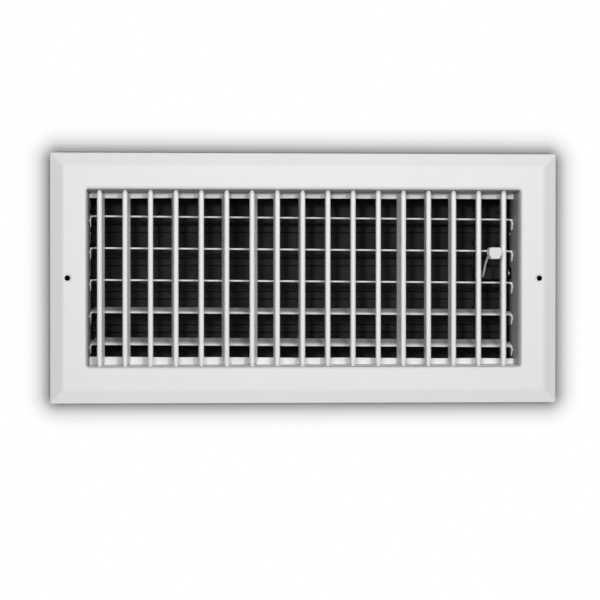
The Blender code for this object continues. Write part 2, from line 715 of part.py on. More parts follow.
def lever_crank():
    half = CRANK_SHEET / 2
    pivot = (LEVER_PIVOT_DEPTH, LEVER_PIVOT_HEIGHT)
    pin = crank_pin_place(ARM_REST)
    bm = bmesh.new()
    add_rod(bm, (LEVER_X - half, *pivot), (LEVER_X + half, *pivot), CRANK_BOSS_RADIUS)
    made = put("lever_crank", bm, BLACK)

    def arm(name, end, radius):
        along = Vector((0, end[0] - pivot[0], end[1] - pivot[1]))
        bm = bmesh.new()
        add_box(bm, (-half, 0, -radius), (half, along.length, radius))
        angle = math.atan2(along.z, along.y)
        bmesh.ops.rotate(bm, verts=bm.verts, matrix=Matrix.Rotation(angle, 3, 'X'))
        bmesh.ops.translate(bm, verts=bm.verts, vec=(LEVER_X, *pivot))
        join(made, guide(put(name, bm, group=CUTTERS)))

    arm("crank_tail", pin, CRANK_TAIL_RADIUS)
    join(made, rod_guide("crank_tail_end", (LEVER_X - half, *pin), (LEVER_X + half, *pin),
                         CRANK_TAIL_RADIUS))
    socket_back = SOCKET_FRONT + SOCKET_LENGTH
    arm("crank_front", (socket_back - WIRE_RADIUS, SOCKET_HEIGHT), SOCKET_RADIUS)
    join(made, rod_guide("crank_socket", (LEVER_X, SOCKET_FRONT, SOCKET_HEIGHT),
                         (LEVER_X, socket_back, SOCKET_HEIGHT), SOCKET_RADIUS))
    join(made, rod_guide("crank_pin", (LEVER_X, *pin),
                         (BAR_X - BAR_SHEET / 2 - SEAT_GAP / 2, *pin), CRANK_PIN_RADIUS, PIN_SIDES))
    cut(made, rod_guide("crank_bore", (LEVER_X, SOCKET_FRONT - CUT_OVERRUN, SOCKET_HEIGHT),
                        (LEVER_X, socket_back - CRANK_SHEET, SOCKET_HEIGHT),
                        hole_radius(WIRE_RADIUS), PIN_SIDES))
    cut(made, rod_guide("crank_pivot_hole", (LEVER_X - half - FINE_OVERRUN, *pivot),
                        (LEVER_X + half + FINE_OVERRUN, *pivot), hole_radius(RIVET_SHANK),
                        PIN_SIDES))


def wire_points():
    """Route of the lever wire, crank to tip, through the gap between two rear blades."""
    back = SOCKET_FRONT + SOCKET_LENGTH - CRANK_SHEET - SEAT_GAP
    tip_rear = TIP_DEPTH - TIP_FRONT
    entry_x = LEVER_X - SEAT_GAP * 2
    rise = TIP_CENTRE_Z - SOCKET_HEIGHT
    run = SOCKET_FRONT - tip_rear
    bow_shares = ((0.05, 0.02), (0.13, 0.05), (0.24, 0.20), (0.36, 0.40), (0.50, 0.60),
                  (0.66, 0.78), (0.82, 0.90), (0.93, 0.955))
    points = [(LEVER_X, back, SOCKET_HEIGHT), (LEVER_X, SOCKET_FRONT, SOCKET_HEIGHT)]
    for forward_share, rise_share in bow_shares:
        points.append((entry_x, SOCKET_FRONT - run * forward_share,
                       SOCKET_HEIGHT + rise * rise_share - WIRE_RADIUS * rise_share))
    points.append((entry_x, tip_rear, TIP_CENTRE_Z - WIRE_RADIUS))
    points.append((entry_x, tip_rear - TIP_BORE_DEPTH + SEAT_GAP, TIP_CENTRE_Z - WIRE_RADIUS))
    return points


def smooth_path(points, spans):
    """Points of a Catmull-Rom curve through a list of points."""
    ends = [points[0]] + list(points) + [points[-1]]
    ends = [Vector(point) for point in ends]
    route = []
    for index in range(1, len(ends) - 2):
        before, start, end, after = ends[index - 1:index + 3]
        for step in range(spans):
            share = step / spans
            route.append(0.5 * (2 * start + (end - before) * share
                                + (2 * before - 5 * start + 4 * end - after) * share ** 2
                                + (3 * start - before - 3 * end + after) * share ** 3))
    route.append(ends[-2])
    return route


def lever_wire():
    curve = bpy.data.curves.new("lever_wire", 'CURVE')
    curve.dimensions = '3D'
    curve.bevel_depth = WIRE_RADIUS
    curve.bevel_resolution = 2
    curve.use_fill_caps = True
    line = curve.splines.new('POLY')
    route = smooth_path(wire_points(), WIRE_SPAN_STEPS)
    line.points.add(len(route) - 1)
    for spot, place in zip(line.points, route):
        spot.co = (*place, 1)
    drawn = bpy.data.objects.new("lever_wire_line", curve)
    PARTS.objects.link(drawn)
    bpy.context.view_layer.update()
    seen = drawn.evaluated_get(bpy.context.evaluated_depsgraph_get())
    solid = bpy.data.meshes.new_from_object(seen)
    bpy.data.objects.remove(drawn, do_unlink=True)
    bm = bmesh.new()
    bm.from_mesh(solid)
    bmesh.ops.remove_doubles(bm, verts=bm.verts, dist=WELD)
    bmesh.ops.recalc_face_normals(bm, faces=bm.faces)
    round_shading(put("lever_wire", bm, WHITE))


def lever_tip():
    """Moulded grip with a six-sided face and clipped upper corners, bored for the wire."""
    low_x = TIP_CENTRE_X - TIP_WIDTH / 2
    low_z = TIP_CENTRE_Z - TIP_HEIGHT / 2
    rear = TIP_DEPTH - TIP_FRONT
    bm = bmesh.new()
    outline = [bm.verts.new((low_x + across * TIP_WIDTH, -TIP_FRONT, low_z + up * TIP_HEIGHT))
               for across, up in TIP_OUTLINE_SHARES]
    face = bm.faces.new(outline)
    drawn = bmesh.ops.extrude_face_region(bm, geom=[face])["geom"]
    moved = [part for part in drawn if isinstance(part, bmesh.types.BMVert)]
    bmesh.ops.translate(bm, verts=moved, vec=(0, TIP_DEPTH, 0))
    bmesh.ops.recalc_face_normals(bm, faces=bm.faces)
    bmesh.ops.bevel(bm, geom=list(bm.edges), offset=TIP_ROUND, segments=1, affect='EDGES')
    made = put("lever_tip", bm, PLASTIC)
    entry = wire_points()[-1]
    cut(made, rod_guide("tip_bore", (entry[0], rear + CUT_OVERRUN, entry[2]),
                        (entry[0], rear - TIP_BORE_DEPTH, entry[2]),
                        hole_radius(WIRE_RADIUS), PIN_SIDES))


def lever_bracket():
    """Folded bracket from the right side plate to an ear beside the crank."""
    path = ((BRACKET_FOOT_X, BRACKET_WEB_Y - BRACKET_FOOT), (BRACKET_FOOT_X, BRACKET_WEB_Y),
            (BRACKET_EAR_X, BRACKET_WEB_Y), (BRACKET_EAR_X, LEVER_PIVOT_DEPTH + BRACKET_EAR))
    made = folded_sheet("lever_bracket", path, lambda point, along: (point[0], point[1], along),
                        LEVER_PIVOT_HEIGHT - BRACKET_HALF_HEIGHT,
                        LEVER_PIVOT_HEIGHT + BRACKET_HALF_HEIGHT, BRACKET_SHEET, BRACKET_BEND, BLACK)
    pivot = (LEVER_PIVOT_DEPTH, LEVER_PIVOT_HEIGHT)
    cut(made, rod_guide("bracket_pivot_hole", (BRACKET_EAR_X - CUT_OVERRUN / 2, *pivot),
                        (BRACKET_EAR_X + CUT_OVERRUN / 2, *pivot), hole_radius(RIVET_SHANK),
                        PIN_SIDES))
    foot = (BRACKET_RIVET_Y, LEVER_PIVOT_HEIGHT)
    cut(made, rod_guide("bracket_foot_hole", (BRACKET_FOOT_X - CUT_OVERRUN / 2, *foot),
                        (BRACKET_FOOT_X + CUT_OVERRUN / 2, *foot), hole_radius(RIVET_SHANK),
                        PIN_SIDES))


def rivet(name, depth, level, inner_face, outer_face, material):
    """Rivet along X whose two heads sit just off the faces that it holds."""
    side = math.copysign(1, outer_face - inner_face)
    low = inner_face - side * SEAT_GAP
    high = outer_face + side * SEAT_GAP
    crown = RIVET_HEAD_RADIUS * 0.6
    top = abs(high - low) / 2
    profile = [(0, top + RIVET_HEAD_HEIGHT), (crown, top + RIVET_HEAD_HEIGHT * 0.85),
               (RIVET_HEAD_RADIUS, top), (RIVET_SHANK, top)]
    profile += [(radius, -height) for radius, height in reversed(profile)]
    made = turned(name, profile, material, PIN_SIDES)
    made.location = ((low + high) / 2, depth, level)
    made.rotation_euler = (0, side * math.pi / 2, 0)


def rivets():
    outer = DAMPER_INNER_WIDTH + DAMPER_SHEET
    number = 1
    for side in (-1, 1):
        for depth, level in rivet_places():
            rivet("frame_rivet_%d" % number, depth, level, side * CORE_INNER_WIDTH,
                  side * outer, STEEL)
            number += 1
    rivet("bracket_rivet", BRACKET_RIVET_Y, LEVER_PIVOT_HEIGHT,
          BRACKET_FOOT_X - BRACKET_SHEET / 2, outer, STEEL)
    rivet("lever_pivot_rivet", LEVER_PIVOT_DEPTH, LEVER_PIVOT_HEIGHT,
          LEVER_X - CRANK_SHEET / 2, BRACKET_EAR_X + BRACKET_SHEET / 2, STEEL)


face_frame()
core_rail("core_top_rail", 1, UPPER_LIP)
lower_rail()
side_plate("core_left_plate", -1)
side_plate("core_right_plate", 1)
front_bank()
rear_bank()
damper_wall("damper_top", 1)
damper_wall("damper_bottom", -1)
damper_end("damper_left", -1)
damper_end("damper_right", 1)
shutter_bank()
tie_bar()
lever_crank()
lever_wire()
lever_tip()
lever_bracket()
rivets()
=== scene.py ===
"""Looks for the vent register: paint, plastic and plated steel, and finely rounded sheet pieces."""
import math

import bpy
import bmesh
from mathutils import Matrix, Vector


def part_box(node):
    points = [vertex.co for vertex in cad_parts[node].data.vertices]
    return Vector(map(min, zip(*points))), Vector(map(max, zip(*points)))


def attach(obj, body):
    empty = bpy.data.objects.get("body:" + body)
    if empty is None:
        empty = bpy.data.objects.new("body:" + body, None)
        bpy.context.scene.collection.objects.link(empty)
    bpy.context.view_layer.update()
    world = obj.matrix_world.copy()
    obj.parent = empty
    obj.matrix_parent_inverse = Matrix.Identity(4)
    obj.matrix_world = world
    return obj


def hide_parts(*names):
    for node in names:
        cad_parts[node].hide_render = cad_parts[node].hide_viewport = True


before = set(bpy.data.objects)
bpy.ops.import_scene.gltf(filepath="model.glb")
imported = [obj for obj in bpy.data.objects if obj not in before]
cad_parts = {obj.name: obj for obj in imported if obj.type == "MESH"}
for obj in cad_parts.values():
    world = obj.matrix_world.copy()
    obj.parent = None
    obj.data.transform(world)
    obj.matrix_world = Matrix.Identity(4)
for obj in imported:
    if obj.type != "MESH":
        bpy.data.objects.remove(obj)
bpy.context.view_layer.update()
bpy.ops.object.select_all(action='DESELECT')

# Camera, in front of the face and left of its middle

CAMERA_PLACE = (-0.1083, -1.5065, -0.0054)
LOOK_AT = (-0.03227, -0.0065, -0.01715)
LENS, SENSOR_WIDTH = 114.74, 36
SIDE_SHIFT = 0.06
FARTHEST_SEEN = 20

view = bpy.data.cameras.new("camera")
view.lens = LENS
view.sensor_width = SENSOR_WIDTH
view.shift_x = SIDE_SHIFT
view.clip_end = FARTHEST_SEEN
camera = bpy.data.objects.new("camera", view)
bpy.context.scene.collection.objects.link(camera)
camera.location = CAMERA_PLACE
camera.rotation_euler = (Vector(LOOK_AT) - Vector(CAMERA_PLACE)).to_track_quat('-Z', 'Y').to_euler()
bpy.context.scene.camera = camera


# Materials


class Finish:
    """Node material built up from a Principled shader."""

    def __init__(self, name, metallic=0.0):
        self.material = bpy.data.materials.new(name)
        self.material.use_nodes = True
        self.tree = self.material.node_tree
        self.shader = self.tree.nodes["Principled BSDF"]
        self.shader.inputs["Metallic"].default_value = metallic
        self.place = self.add('ShaderNodeTexCoord').outputs["Object"]

    def add(self, kind):
        return self.tree.nodes.new(kind)

    def noise(self, scale, detail=3.0, roughness=0.5, stretch=(1, 1, 1)):
        node = self.add('ShaderNodeTexNoise')
        node.inputs["Scale"].default_value = scale
        node.inputs["Detail"].default_value = detail
        node.inputs["Roughness"].default_value = roughness
        if stretch == (1, 1, 1):
            self.tree.links.new(self.place, node.inputs["Vector"])
        else:
            mapping = self.add('ShaderNodeMapping')
            mapping.inputs["Scale"].default_value = stretch
            self.tree.links.new(self.place, mapping.inputs["Vector"])
            self.tree.links.new(mapping.outputs["Vector"], node.inputs["Vector"])
        return node.outputs["Fac"]

    def spread(self, value, low, high, start=0.3, end=0.7):
        node = self.add('ShaderNodeMapRange')
        node.inputs["From Min"].default_value = start
        node.inputs["From Max"].default_value = end
        node.inputs["To Min"].default_value = low
        node.inputs["To Max"].default_value = high
        self.tree.links.new(value, node.inputs["Value"])
        return node.outputs["Result"]

    def tint(self, value, dark, light, start=0.3, end=0.7):
        node = self.add('ShaderNodeValToRGB')
        node.color_ramp.elements[0].position = start
        node.color_ramp.elements[0].color = (*dark, 1)
        node.color_ramp.elements[1].position = end
        node.color_ramp.elements[1].color = (*light, 1)
        self.tree.links.new(value, node.inputs["Fac"])
        return node.outputs["Color"]

    def use(self, value, socket):
        self.tree.links.new(value, self.shader.inputs[socket])

    def bump(self, height, strength, distance):
        """Layer of bumps, on top of those that the shader has already; distance is in metres."""
        node = self.add('ShaderNodeBump')
        node.inputs["Strength"].default_value = strength
        node.inputs["Distance"].default_value = distance
        self.tree.links.new(height, node.inputs["Height"])
        for link in self.shader.inputs["Normal"].links:
            self.tree.links.new(link.from_socket, node.inputs["Normal"])
        self.use(node.outputs["Normal"], "Normal")


def scaled(colour, share):
    return tuple(channel * share for channel in colour)


def enamel(name, colour, roughness, specular, mottling=0.985):
    """Sprayed enamel: slight orange peel, faint mottling and a few dust nibs."""
    made = Finish(name)
    made.shader.inputs["Specular IOR Level"].default_value = specular
    cloud = made.noise(scale=14, detail=3, roughness=0.55)
    made.use(made.tint(cloud, dark=scaled(colour, mottling), light=colour), "Base Color")
    sheen = made.noise(scale=60, detail=2)
    made.use(made.spread(sheen, low=roughness - 0.04, high=roughness + 0.05), "Roughness")
    peel = made.noise(scale=520, detail=2)
    nibs = made.spread(made.noise(scale=1400, detail=1), low=0, high=1, start=0.66, end=0.74)
    made.bump(peel, strength=0.10, distance=0.0002)
    made.bump(nibs, strength=0.06, distance=0.00008)
    return made.material


# Axes by number, and the look that the enamels of the core share

ACROSS, DEPTH, LEVEL = 0, 1, 2
CORE_LOOK = {"colour": (0.80, 0.80, 0.795), "roughness": 0.5, "specular": 0.35, "mottling": 0.975}


def painted_shade_enamel(name, axis, start, end, share):
    """Core enamel with painted shade: darker and darker past a place along one axis."""
    made = enamel(name, **CORE_LOOK)
    tree = made.node_tree
    colour = tree.nodes["Principled BSDF"].inputs["Base Color"]
    coat = colour.links[0].from_socket
    place = tree.nodes.new('ShaderNodeTexCoord')
    parts = tree.nodes.new('ShaderNodeSeparateXYZ')
    reach = tree.nodes.new('ShaderNodeMapRange')
    for socket, value in (("From Min", start), ("From Max", end), ("To Min", 1), ("To Max", share)):
        reach.inputs[socket].default_value = value
    mixed = tree.nodes.new('ShaderNodeVectorMath')
    mixed.operation = 'SCALE'
    tree.links.new(place.outputs["Object"], parts.inputs[0])
    tree.links.new(parts.outputs[axis], reach.inputs["Value"])
    tree.links.new(coat, mixed.inputs[0])
    tree.links.new(reach.outputs["Result"], mixed.inputs["Scale"])
    tree.links.new(mixed.outputs["Vector"], colour)
    return made


def plated_steel(name):
    """Zinc plate, with faint rolling lines and a little dulling."""
    colour = (0.60, 0.61, 0.63)
    made = Finish(name, metallic=1.0)
    cloud = made.noise(scale=45, detail=4, roughness=0.6)
    made.use(made.tint(cloud, dark=scaled(colour, 0.82), light=colour), "Base Color")
    made.use(made.spread(cloud, low=0.28, high=0.44), "Roughness")
    lines = made.noise(scale=900, detail=2, roughness=0.6, stretch=(0.06, 1, 1))
    made.bump(lines, strength=0.12, distance=0.0001)
    return made.material


def moulded_plastic(name):
    """Injection-moulded plastic with a fine satin grain."""
    colour = (0.68, 0.68, 0.665)
    made = Finish(name)
    made.shader.inputs["Specular IOR Level"].default_value = 0.35
    made.shader.inputs["Subsurface Weight"].default_value = 0.06
    made.shader.inputs["Subsurface Radius"].default_value = (0.002, 0.0018, 0.0015)
    cloud = made.noise(scale=90, detail=2)
    made.use(made.tint(cloud, dark=scaled(colour, 0.99), light=colour), "Base Color")
    made.use(made.spread(made.noise(scale=400, detail=2), low=0.26, high=0.36), "Roughness")
    made.bump(made.noise(scale=1800, detail=2), strength=0.08, distance=0.00006)
    return made.material


FACE_ENAMEL = enamel("face_enamel", (0.82, 0.82, 0.815), roughness=0.55, specular=0.28)
CORE_ENAMEL = enamel("core_enamel", **CORE_LOOK)
# Painted shade: the top rail darkened above its lip, where the rolled edge shades its underside.
CHANNEL_PAINTED_SHADE_ENAMEL = painted_shade_enamel("channel_painted_shade", LEVEL, start=0.0676, end=0.0684, share=0.45)
# Painted shade: the side walls darkened behind their front edge, as if in shadow inside the opening.
WALL_PAINTED_SHADE_ENAMEL = painted_shade_enamel("wall_painted_shade", DEPTH, start=-0.0030, end=0.0060, share=0.60)
FRONT_BLADE_ENAMEL = enamel("blade_enamel", (0.83, 0.83, 0.825), roughness=0.4, specular=0.45)
# Painted shade: the rear blades darkened behind their hemmed front edge, where their faces lie in shadow.
REAR_BLADE_PAINTED_SHADE_ENAMEL = painted_shade_enamel("rear_blade_enamel", DEPTH, start=0.0240, end=0.0275, share=0.48)
DAMPER_ENAMEL = enamel("damper_enamel", (0.0048, 0.0048, 0.0052), roughness=0.6, specular=0.18,
                       mottling=0.8)
ZINC_PLATE = plated_steel("zinc_plate")
GRIP_PLASTIC = moulded_plastic("grip_plastic")


def is_dark(node):
    """Damper and linkage, the solids that stay as the model has them."""
    return node.startswith("damper") or node in ("tie_bar", "lever_crank", "lever_bracket")


for node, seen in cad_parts.items():
    if is_dark(node):
        for slot in seen.material_slots:
            slot.material = DAMPER_ENAMEL


# Sizes that several pieces share, in metres

FINE = 0.0001
CORE_SHEET, SEAT_GAP, PIN_RADIUS = 0.0008, 0.0003, 0.0011
PIN_PLAY, PIERCE_PAST = 3 * FINE, 0.002
SMOOTH_ANGLE_DEG = 35

# Sizes of the face frame

FACE_HALF_WIDTH, FACE_HALF_HEIGHT = 0.200025, 0.098425
FLANGE_WIDTH, FACE_SHEET, FACE_RISE = 0.028575, 0.0012, 0.0065
RIM_HEIGHT, RIM_ROUND_SHARE = 0.0013, 0.45
BORDER_WIDTH, BORDER_EASE = 0.0105, 0.0016
ROLL_RADIUS, COLLAR_REACH = 0.003, 0.014
OUTER_CORNER, INNER_CORNER = 0.0016, 0.0020
CORNER_STEPS, RIM_STEPS, EASE_STEPS, ROLL_STEPS = 8, 4, 8, 12
SCREW_INSET, SCREW_HOLE_RADIUS, SINK_RADIUS, SINK_DEPTH = 0.0138, 0.0022, 0.0037, 0.0012
SCREW_X = FACE_HALF_WIDTH - SCREW_INSET

# Sizes of the core's rails and walls, and of the rivets

RAIL_END, RAIL_FRONT, RAIL_LOW, RAIL_BEND = 0.17005, -0.0032, 0.06875, 0.0016
RAIL_HIGH = RAIL_LOW + CORE_SHEET
LIP_FRONT = 0.0195
LIP_BACK = LIP_FRONT + CORE_SHEET
UPPER_LIP, LOWER_LIP, LIP_TAPER, TAPER_REACH = 0.0050, 0.0053, 0.0019, 0.17
LIP_WAVE, LONG_WAVE, SHORT_WAVE, SHORT_WAVE_SHARE, HALF_LIP_PARTS = 0.00011, 61, 117, 0.6, 34
WALL_IN, WALL_BACK, WALL_END = RAIL_END + SEAT_GAP, 0.0395, RAIL_LOW - SEAT_GAP
WALL_OUT = WALL_IN + CORE_SHEET
LEAD_IN, LEAD_RISE = 0.0090, 0.00068
RIVET_Z, SHANK_RADIUS, HEAD_RADIUS, HEAD_HEIGHT, HEAD_DOME_SHARE = 0.0360, 0.0012, 0.0024, 0.0008, 0.8

# Sizes of the front blades

FRONT_AXIS_Y, FRONT_FIRST_X, FRONT_PITCH = 0.0010, -0.1613, 0.0200
FRONT_TURNS_DEG = (-10, -11.5, 0, 9.5, 6, 10, -15, 6, 5.5, 2, 1, -2.5, 9.5, 2.5, 4.5, -2, -1.5)
NOSE_RADIUS, NOSE_END, NOSE_ROUND = 0.0020, 0.06825, 0.0005
WEB_HALF, WEB_DEPTH, WEB_END, TAIL_CHAMFER = 0.00045, 0.0173, 0.06715, 0.0015
FRONT_PIN_END = RAIL_HIGH - FINE

# Sizes of the rear blades

REAR_AXIS_Y, REAR_FIRST_Z, REAR_PITCH, REAR_SLOPE_DEG = 0.0236, 0.0450, 0.0254, 0.38
REAR_TURNS_DEG = (0, 0, 0, 14, 18)
REAR_END, REAR_FRONT, REAR_BACK = 0.16965, -0.0016, 0.0144
PLATE_Z, PLATE_HALF = 0.0034, CORE_SHEET / 2
HEM_HALF, HEM_DEPTH, HEM_NOSE_SHARE, HEM_FOLD_SHARE = 0.0007, 0.0022, 0.9, 0.4
EAR_LOW, EAR_BACK, EAR_BEND, EAR_ROUND, WING_ROUND = -0.0056, 0.0084, 0.0030, 0.0025, 0.0015
REAR_PIN_END = WALL_OUT - FINE

# Sizes of the lever's tip and wire

TIP_LOW, TIP_SIZE = (0.1441, -0.0170, 0.0151), (0.0104, 0.0120, 0.0090)
TIP_OUTLINE_SHARES = ((0.10, 1.0), (0.0, 0.80), (0.0, 0.42), (0.19, 0.0), (0.80, 0.0), (1.0, 0.58),
                      (1.0, 0.76), (0.86, 1.0))
TIP_ROUND, TIP_BORE_RADIUS, TIP_BORE_DEPTH = 0.0005, 0.0010, 0.0070
MODEL_WIRE_RADIUS, WIRE_RADIUS, WIRE_X, WIRE_STEP = 0.0007, 0.00085, 0.1470, 0.0006
WIRE_SOCKET_Z, WIRE_END_Y, WIRE_BEND_Y, WIRE_RUN, WIRE_RISE = 0.0014, 0.0372, 0.0315, 0.0365, 0.0175
WIRE_ROUTE_SHARES = ((0.05, 0.02), (0.13, 0.05), (0.24, 0.20), (0.36, 0.40), (0.50, 0.60), (0.66, 0.78),
                     (0.82, 0.90), (0.93, 0.955), (1.0, 1.0))
WIRE_STEPS = 6


# Ways of modelling. A face counts as facing an axis when at least FACING of its normal lies that way

FACING = 0.9


def take(made):
    """Select one object alone and make it active."""
    bpy.ops.object.select_all(action='DESELECT')
    made.select_set(True)
    bpy.context.view_layer.objects.active = made


def settle(name):
    """Name a new primitive and put its place, turn and scale into its mesh."""
    made = bpy.context.object
    made.name = made.data.name = name
    bpy.ops.object.transform_apply(location=True, rotation=True, scale=True)
    return made


def block(name, low, high):
    bpy.ops.mesh.primitive_cube_add(size=1, location=[(a + b) / 2 for a, b in zip(low, high)])
    bpy.context.object.scale = [b - a for a, b in zip(low, high)]
    return settle(name)


def rod(name, start, end, radius, end_radius=None, sides=32):
    """Round bar, or a cone where its end has a radius of its own."""
    start, end = Vector(start), Vector(end)
    bpy.ops.mesh.primitive_cone_add(vertices=sides, radius1=radius,
                                    radius2=radius if end_radius is None else end_radius,
                                    depth=(end - start).length, location=(start + end) / 2,
                                    rotation=(end - start).to_track_quat('Z', 'Y').to_euler())
    return settle(name)


def edit(made, kind):
    take(made)
    bpy.ops.object.mode_set(mode='EDIT')
    bpy.ops.mesh.select_mode(type=kind)


def leave():
    bpy.ops.object.mode_set(mode='OBJECT')


def choose(made, kind, test):
    """Enter edit mode with what passes a test selected: edges by ends, faces by middle and normal."""
    edit(made, kind)
    bpy.ops.mesh.select_all(action='DESELECT')
    shape = bmesh.from_edit_mesh(made.data)
    if kind == 'EDGE':
        for edge in shape.edges:
            if test(edge.verts[0].co, edge.verts[1].co):
                edge.select_set(True)
    else:
        for face in shape.faces:
            if test(face.calc_center_median(), face.normal):
                face.select_set(True)
    bmesh.update_edit_mesh(made.data)


def soften(made, width, segments, test):
    """Round the chosen edges."""
    choose(made, 'EDGE', test)
    bpy.ops.mesh.bevel(offset=width, offset_type='OFFSET', segments=segments, profile=0.5,
                       affect='EDGES')
    leave()


def pull(made, move, test):
    """Extrude the chosen faces."""
    choose(made, 'FACE', test)
    bpy.ops.mesh.extrude_region_move(TRANSFORM_OT_translate={"value": move})
    leave()


def slice_at(made, place, normal):
    """Cut new edges through a piece along a plane."""
    edit(made, 'EDGE')
    bpy.ops.mesh.select_all(action='SELECT')
    bpy.ops.mesh.bisect(plane_co=place, plane_no=normal)
    leave()


def apply_step(made, kind, **values):
    take(made)
    step = made.modifiers.new(kind.lower(), kind)
    for key, value in values.items():
        setattr(step, key, value)
    bpy.ops.object.modifier_apply(modifier=step.name)


def combine(made, operation, others):
    for other in others:
        apply_step(made, 'BOOLEAN', operation=operation, object=other, solver='EXACT')
        bpy.data.objects.remove(other, do_unlink=True)


def join(made, *others):
    combine(made, 'UNION', others)


def cut(made, *others):
    combine(made, 'DIFFERENCE', others)


def pierce(made, rods):
    """Cut many holes at once, with their bars joined into one."""
    take(rods[0])
    for other in rods:
        other.select_set(True)
    bpy.ops.object.join()
    cut(made, rods[0])


def polish(made, finish):
    """Close the seams, smooth what is round, keep what is flat, and give the finish."""
    edit(made, 'VERT')
    bpy.ops.mesh.select_all(action='SELECT')
    bpy.ops.mesh.remove_doubles(threshold=FINE / 20)
    bpy.ops.mesh.normals_make_consistent(inside=False)
    leave()
    bpy.ops.object.shade_smooth_by_angle(angle=math.radians(SMOOTH_ANGLE_DEG))
    apply_step(made, 'WEIGHTED_NORMAL', keep_sharp=True, weight=50)
    made.data.materials.clear()
    made.data.materials.append(finish)
    made.select_set(False)


def stand_for(made, node, body):
    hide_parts(node)
    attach(made, body)


def turned_copy(pattern, name, matrix):
    """Copy with its own mesh, turned into place there."""
    made = bpy.data.objects.new(name, pattern.data.copy())
    bpy.context.scene.collection.objects.link(made)
    made.data.name = name
    made.data.transform(matrix)
    return made


# Face frame: rings drawn out from rim to collar, then the sheet's thickness and the screw holes


def rounded_outline(half_width, half_height, radius):
    """Points of a rectangle with rounded corners, in order round its middle."""
    points = []
    for index, (side, level) in enumerate(((1, 1), (-1, 1), (-1, -1), (1, -1))):
        for step in range(CORNER_STEPS):
            angle = math.pi / 2 * (index + step / (CORNER_STEPS - 1))
            points.append((side * (half_width - radius) + radius * math.cos(angle),
                           level * (half_height - radius) + radius * math.sin(angle)))
    return sorted(points, key=lambda point: math.atan2(point[1], point[0]))


def face_rings():
    """Inset, depth and corner radius of each ring of the pressed face."""
    slope = (FACE_RISE - RIM_HEIGHT) / BORDER_WIDTH
    rim = RIM_HEIGHT * RIM_ROUND_SHARE
    rings = [(0, 0, OUTER_CORNER), (0, rim - RIM_HEIGHT, OUTER_CORNER)]
    for step in range(1, RIM_STEPS + 1):
        turn = math.pi / 2 * step / RIM_STEPS
        rings.append((rim * (1 - math.cos(turn)),
                      rim - RIM_HEIGHT - rim * math.sin(turn) - slope * rim * (1 - math.cos(turn)),
                      OUTER_CORNER))
    start = BORDER_WIDTH - BORDER_EASE
    for step in range(EASE_STEPS + 1):
        share = step / EASE_STEPS
        rings.append((start + 2 * BORDER_EASE * share,
                      -FACE_RISE + BORDER_EASE * slope * (1 - share) ** 2,
                      OUTER_CORNER + (INNER_CORNER - OUTER_CORNER) * share))
    for step in range(ROLL_STEPS + 1):
        turn = math.pi / 2 * step / ROLL_STEPS
        rings.append((FLANGE_WIDTH - ROLL_RADIUS * (1 - math.sin(turn)),
                      -FACE_RISE + ROLL_RADIUS * (1 - math.cos(turn)),
                      INNER_CORNER + ROLL_RADIUS * (1 - math.sin(turn))))
    rings.append((FLANGE_WIDTH, COLLAR_REACH, INNER_CORNER))
    return rings


def pressed_face():
    bpy.ops.mesh.primitive_circle_add(vertices=4 * CORNER_STEPS, radius=FACE_HALF_WIDTH,
                                      rotation=(math.pi / 2, 0, 0))
    made = settle("register_face")
    edit(made, 'VERT')
    bpy.ops.mesh.select_all(action='SELECT')
    for number, (inset, depth, corner) in enumerate(face_rings()):
        if number:
            bpy.ops.mesh.extrude_region_move()
        shape = bmesh.from_edit_mesh(made.data)
        ring = sorted((v for v in shape.verts if v.select), key=lambda v: math.atan2(v.co.z, v.co.x))
        outline = rounded_outline(FACE_HALF_WIDTH - inset, FACE_HALF_HEIGHT - inset, corner)
        for vert, (x, z) in zip(ring, outline):
            vert.co = (x, depth, z)
        bmesh.update_edit_mesh(made.data)
    bpy.ops.mesh.select_all(action='SELECT')
    shape = bmesh.from_edit_mesh(made.data)
    shape.normal_update()
    widest = max(shape.faces, key=lambda face: face.calc_area() * abs(face.normal.y))
    if widest.normal.y > 0:
        bpy.ops.mesh.flip_normals()
    leave()
    apply_step(made, 'SOLIDIFY', thickness=FACE_SHEET, offset=-1, use_even_offset=True)
    back = FACE_SHEET - FACE_RISE
    floor = SINK_DEPTH - FACE_RISE
    for side in (-SCREW_X, SCREW_X):
        join(made, rod("cup", (side, back - FACE_SHEET / 2, 0), (side, floor + FACE_SHEET, 0),
                       SINK_RADIUS + FACE_SHEET / 2, SCREW_HOLE_RADIUS + FACE_SHEET, sides=48))
        cut(made, rod("sink", (side, -FACE_RISE - 4 * FINE, 0), (side, floor, 0),
                      SINK_RADIUS + 4 * FINE, SCREW_HOLE_RADIUS, sides=48),
            rod("screw_hole", (side, -FACE_RISE, 0), (side, floor + 3 * FACE_SHEET, 0),
                SCREW_HOLE_RADIUS, sides=48))
    polish(made, FACE_ENAMEL)
    stand_for(made, "face_frame", "frame")


# Core rails: sheet folded into a lip, pierced for the blade pins


def lead_in(made, axis, side):
    """Thin the front of a core sheet from inside, so that it starts behind the rolled edge."""
    slice_at(made, (0, RAIL_FRONT + LEAD_IN, 0), (0, 1, 0))
    inner = RAIL_LOW if axis == LEVEL else WALL_IN
    for vert in made.data.vertices:
        if vert.co.y < RAIL_FRONT + FINE and abs(vert.co[axis] - side * inner) < FINE:
            vert.co[axis] += side * LEAD_RISE


def wave_lip(made, level, lip):
    """Bend the lip's free edge a little, as thin sheet does, and taper the lower one to one end."""
    edge = level * (RAIL_LOW - lip)
    for vert in made.data.vertices:
        reach = max(0.0, 1 - abs(vert.co.z - edge) / (lip - RAIL_BEND))
        wave = (math.sin(vert.co.x * LONG_WAVE + level)
                + SHORT_WAVE_SHARE * math.sin(vert.co.x * SHORT_WAVE + 2 * level))
        if level < 0 and reach > 0:
            share = math.copysign(min(1, abs(vert.co.x) / TAPER_REACH), vert.co.x)
            vert.co.z -= LIP_TAPER / 2 * reach * share
        vert.co.z += LIP_WAVE * reach * wave


